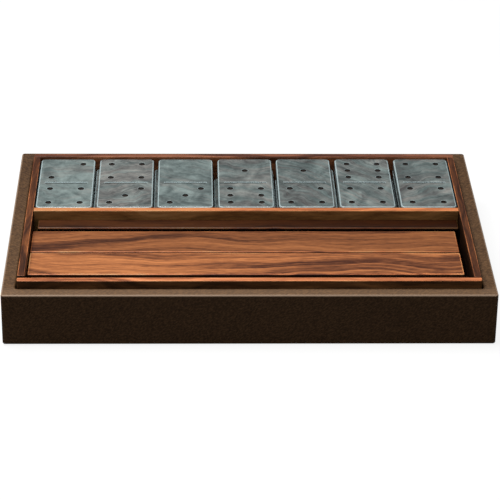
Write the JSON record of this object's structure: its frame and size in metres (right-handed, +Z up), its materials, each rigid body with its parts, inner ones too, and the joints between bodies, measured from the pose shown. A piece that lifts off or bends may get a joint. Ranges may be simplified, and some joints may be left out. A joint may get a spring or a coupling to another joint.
{
  "type": "domino storage box",
  "caption": "Low leather-covered case with a walnut tray: stacked dominoes lie in columns behind a divider, and tile racks nest in pairs in front of it.",
  "frame": {"origin": "middle of the underside of the base pad, on the surface that the box stands on", "axes": "+X to the right along the box's length, +Y to the rear, where the dominoes lie, +Z up"},
  "size_m": [0.25, 0.1668, 0.0329],
  "materials": {
    "leather": "dark brown, fine diagonal grain, satin",
    "walnut_frame": "oiled walnut, satin",
    "walnut_rack": "oiled walnut, satin",
    "nacre": "polished grey mother-of-pearl",
    "core_board": "plain board, hidden",
    "floor_panel": "thin plywood, hidden",
    "lining_suede": "dark brown suede",
    "base_suede": "dark brown suede"
  },
  "bodies": {
    "case": {"base_pad": "base_suede", "leather_wrap": "leather", "core_base": "core_board", "core_front_rail": "core_board", "core_rear_rail": "core_board", "core_left_rail": "core_board", "core_right_rail": "core_board", "frame_front": "walnut_frame", "frame_rear": "walnut_frame", "frame_left": "walnut_frame", "frame_right": "walnut_frame", "divider": "walnut_frame", "tray_floor": "floor_panel", "tile_lining": "lining_suede", "rack_lining": "lining_suede"},
    "tile_1_1": {"tile_1_1": "nacre"},
    "tile_1_2": {"tile_1_2": "nacre"},
    "tile_1_3": {"tile_1_3": "nacre"},
    "tile_1_4": {"tile_1_4": "nacre"},
    "tile_2_1": {"tile_2_1": "nacre"},
    "tile_2_2": {"tile_2_2": "nacre"},
    "tile_2_3": {"tile_2_3": "nacre"},
    "tile_2_4": {"tile_2_4": "nacre"},
    "tile_3_1": {"tile_3_1": "nacre"},
    "tile_3_2": {"tile_3_2": "nacre"},
    "tile_3_3": {"tile_3_3": "nacre"},
    "tile_3_4": {"tile_3_4": "nacre"},
    "tile_4_1": {"tile_4_1": "nacre"},
    "tile_4_2": {"tile_4_2": "nacre"},
    "tile_4_3": {"tile_4_3": "nacre"},
    "tile_4_4": {"tile_4_4": "nacre"},
    "tile_5_1": {"tile_5_1": "nacre"},
    "tile_5_2": {"tile_5_2": "nacre"},
    "tile_5_3": {"tile_5_3": "nacre"},
    "tile_5_4": {"tile_5_4": "nacre"},
    "tile_6_1": {"tile_6_1": "nacre"},
    "tile_6_2": {"tile_6_2": "nacre"},
    "tile_6_3": {"tile_6_3": "nacre"},
    "tile_6_4": {"tile_6_4": "nacre"},
    "tile_7_1": {"tile_7_1": "nacre"},
    "tile_7_2": {"tile_7_2": "nacre"},
    "tile_7_3": {"tile_7_3": "nacre"},
    "tile_7_4": {"tile_7_4": "nacre"},
    "rack_rear": {"rack_rear": "walnut_rack"},
    "rack_rear_inverted": {"rack_rear_inverted": "walnut_rack"},
    "rack_front_inverted": {"rack_front_inverted": "walnut_rack"},
    "rack_front": {"rack_front": "walnut_rack"}
  },
  "joints": [
    {"name": "lift_rack_rear", "type": "slide", "parent": "case", "child": "rack_rear", "axis": [0, 0, 1], "range_m": [0, 0.03]},
    {"name": "lift_rack_rear_inverted", "type": "slide", "parent": "rack_rear", "child": "rack_rear_inverted", "axis": [0, 0, 1], "range_m": [0, 0.03]},
    {"name": "lift_rack_front", "type": "slide", "parent": "case", "child": "rack_front", "axis": [0, 0, 1], "range_m": [0, 0.03]},
    {"name": "lift_rack_front_inverted", "type": "slide", "parent": "rack_front", "child": "rack_front_inverted", "axis": [0, 0, 1], "range_m": [0, 0.03]},
    {"name": "lift_tile_1_1", "type": "slide", "parent": "case", "child": "tile_1_1", "axis": [0, 0, 1], "range_m": [0, 0.03]},
    {"name": "lift_tile_1_2", "type": "slide", "parent": "tile_1_1", "child": "tile_1_2", "axis": [0, 0, 1], "range_m": [0, 0.03]},
    {"name": "lift_tile_1_3", "type": "slide", "parent": "tile_1_2", "child": "tile_1_3", "axis": [0, 0, 1], "range_m": [0, 0.03]},
    {"name": "lift_tile_1_4", "type": "slide", "parent": "tile_1_3", "child": "tile_1_4", "axis": [0, 0, 1], "range_m": [0, 0.03]},
    {"name": "lift_tile_2_1", "type": "slide", "parent": "case", "child": "tile_2_1", "axis": [0, 0, 1], "range_m": [0, 0.03]},
    {"name": "lift_tile_2_2", "type": "slide", "parent": "tile_2_1", "child": "tile_2_2", "axis": [0, 0, 1], "range_m": [0, 0.03]},
    {"name": "lift_tile_2_3", "type": "slide", "parent": "tile_2_2", "child": "tile_2_3", "axis": [0, 0, 1], "range_m": [0, 0.03]},
    {"name": "lift_tile_2_4", "type": "slide", "parent": "tile_2_3", "child": "tile_2_4", "axis": [0, 0, 1], "range_m": [0, 0.03]},
    {"name": "lift_tile_3_1", "type": "slide", "parent": "case", "child": "tile_3_1", "axis": [0, 0, 1], "range_m": [0, 0.03]},
    {"name": "lift_tile_3_2", "type": "slide", "parent": "tile_3_1", "child": "tile_3_2", "axis": [0, 0, 1], "range_m": [0, 0.03]},
    {"name": "lift_tile_3_3", "type": "slide", "parent": "tile_3_2", "child": "tile_3_3", "axis": [0, 0, 1], "range_m": [0, 0.03]},
    {"name": "lift_tile_3_4", "type": "slide", "parent": "tile_3_3", "child": "tile_3_4", "axis": [0, 0, 1], "range_m": [0, 0.03]},
    {"name": "lift_tile_4_1", "type": "slide", "parent": "case", "child": "tile_4_1", "axis": [0, 0, 1], "range_m": [0, 0.03]},
    {"name": "lift_tile_4_2", "type": "slide", "parent": "tile_4_1", "child": "tile_4_2", "axis": [0, 0, 1], "range_m": [0, 0.03]},
    {"name": "lift_tile_4_3", "type": "slide", "parent": "tile_4_2", "child": "tile_4_3", "axis": [0, 0, 1], "range_m": [0, 0.03]},
    {"name": "lift_tile_4_4", "type": "slide", "parent": "tile_4_3", "child": "tile_4_4", "axis": [0, 0, 1], "range_m": [0, 0.03]},
    {"name": "lift_tile_5_1", "type": "slide", "parent": "case", "child": "tile_5_1", "axis": [0, 0, 1], "range_m": [0, 0.03]},
    {"name": "lift_tile_5_2", "type": "slide", "parent": "tile_5_1", "child": "tile_5_2", "axis": [0, 0, 1], "range_m": [0, 0.03]},
    {"name": "lift_tile_5_3", "type": "slide", "parent": "tile_5_2", "child": "tile_5_3", "axis": [0, 0, 1], "range_m": [0, 0.03]},
    {"name": "lift_tile_5_4", "type": "slide", "parent": "tile_5_3", "child": "tile_5_4", "axis": [0, 0, 1], "range_m": [0, 0.03]},
    {"name": "lift_tile_6_1", "type": "slide", "parent": "case", "child": "tile_6_1", "axis": [0, 0, 1], "range_m": [0, 0.03]},
    {"name": "lift_tile_6_2", "type": "slide", "parent": "tile_6_1", "child": "tile_6_2", "axis": [0, 0, 1], "range_m": [0, 0.03]},
    {"name": "lift_tile_6_3", "type": "slide", "parent": "tile_6_2", "child": "tile_6_3", "axis": [0, 0, 1], "range_m": [0, 0.03]},
    {"name": "lift_tile_6_4", "type": "slide", "parent": "tile_6_3", "child": "tile_6_4", "axis": [0, 0, 1], "range_m": [0, 0.03]},
    {"name": "lift_tile_7_1", "type": "slide", "parent": "case", "child": "tile_7_1", "axis": [0, 0, 1], "range_m": [0, 0.03]},
    {"name": "lift_tile_7_2", "type": "slide", "parent": "tile_7_1", "child": "tile_7_2", "axis": [0, 0, 1], "range_m": [0, 0.03]},
    {"name": "lift_tile_7_3", "type": "slide", "parent": "tile_7_2", "child": "tile_7_3", "axis": [0, 0, 1], "range_m": [0, 0.03]},
    {"name": "lift_tile_7_4", "type": "slide", "parent": "tile_7_3", "child": "tile_7_4", "axis": [0, 0, 1], "range_m": [0, 0.03]}
  ]
}
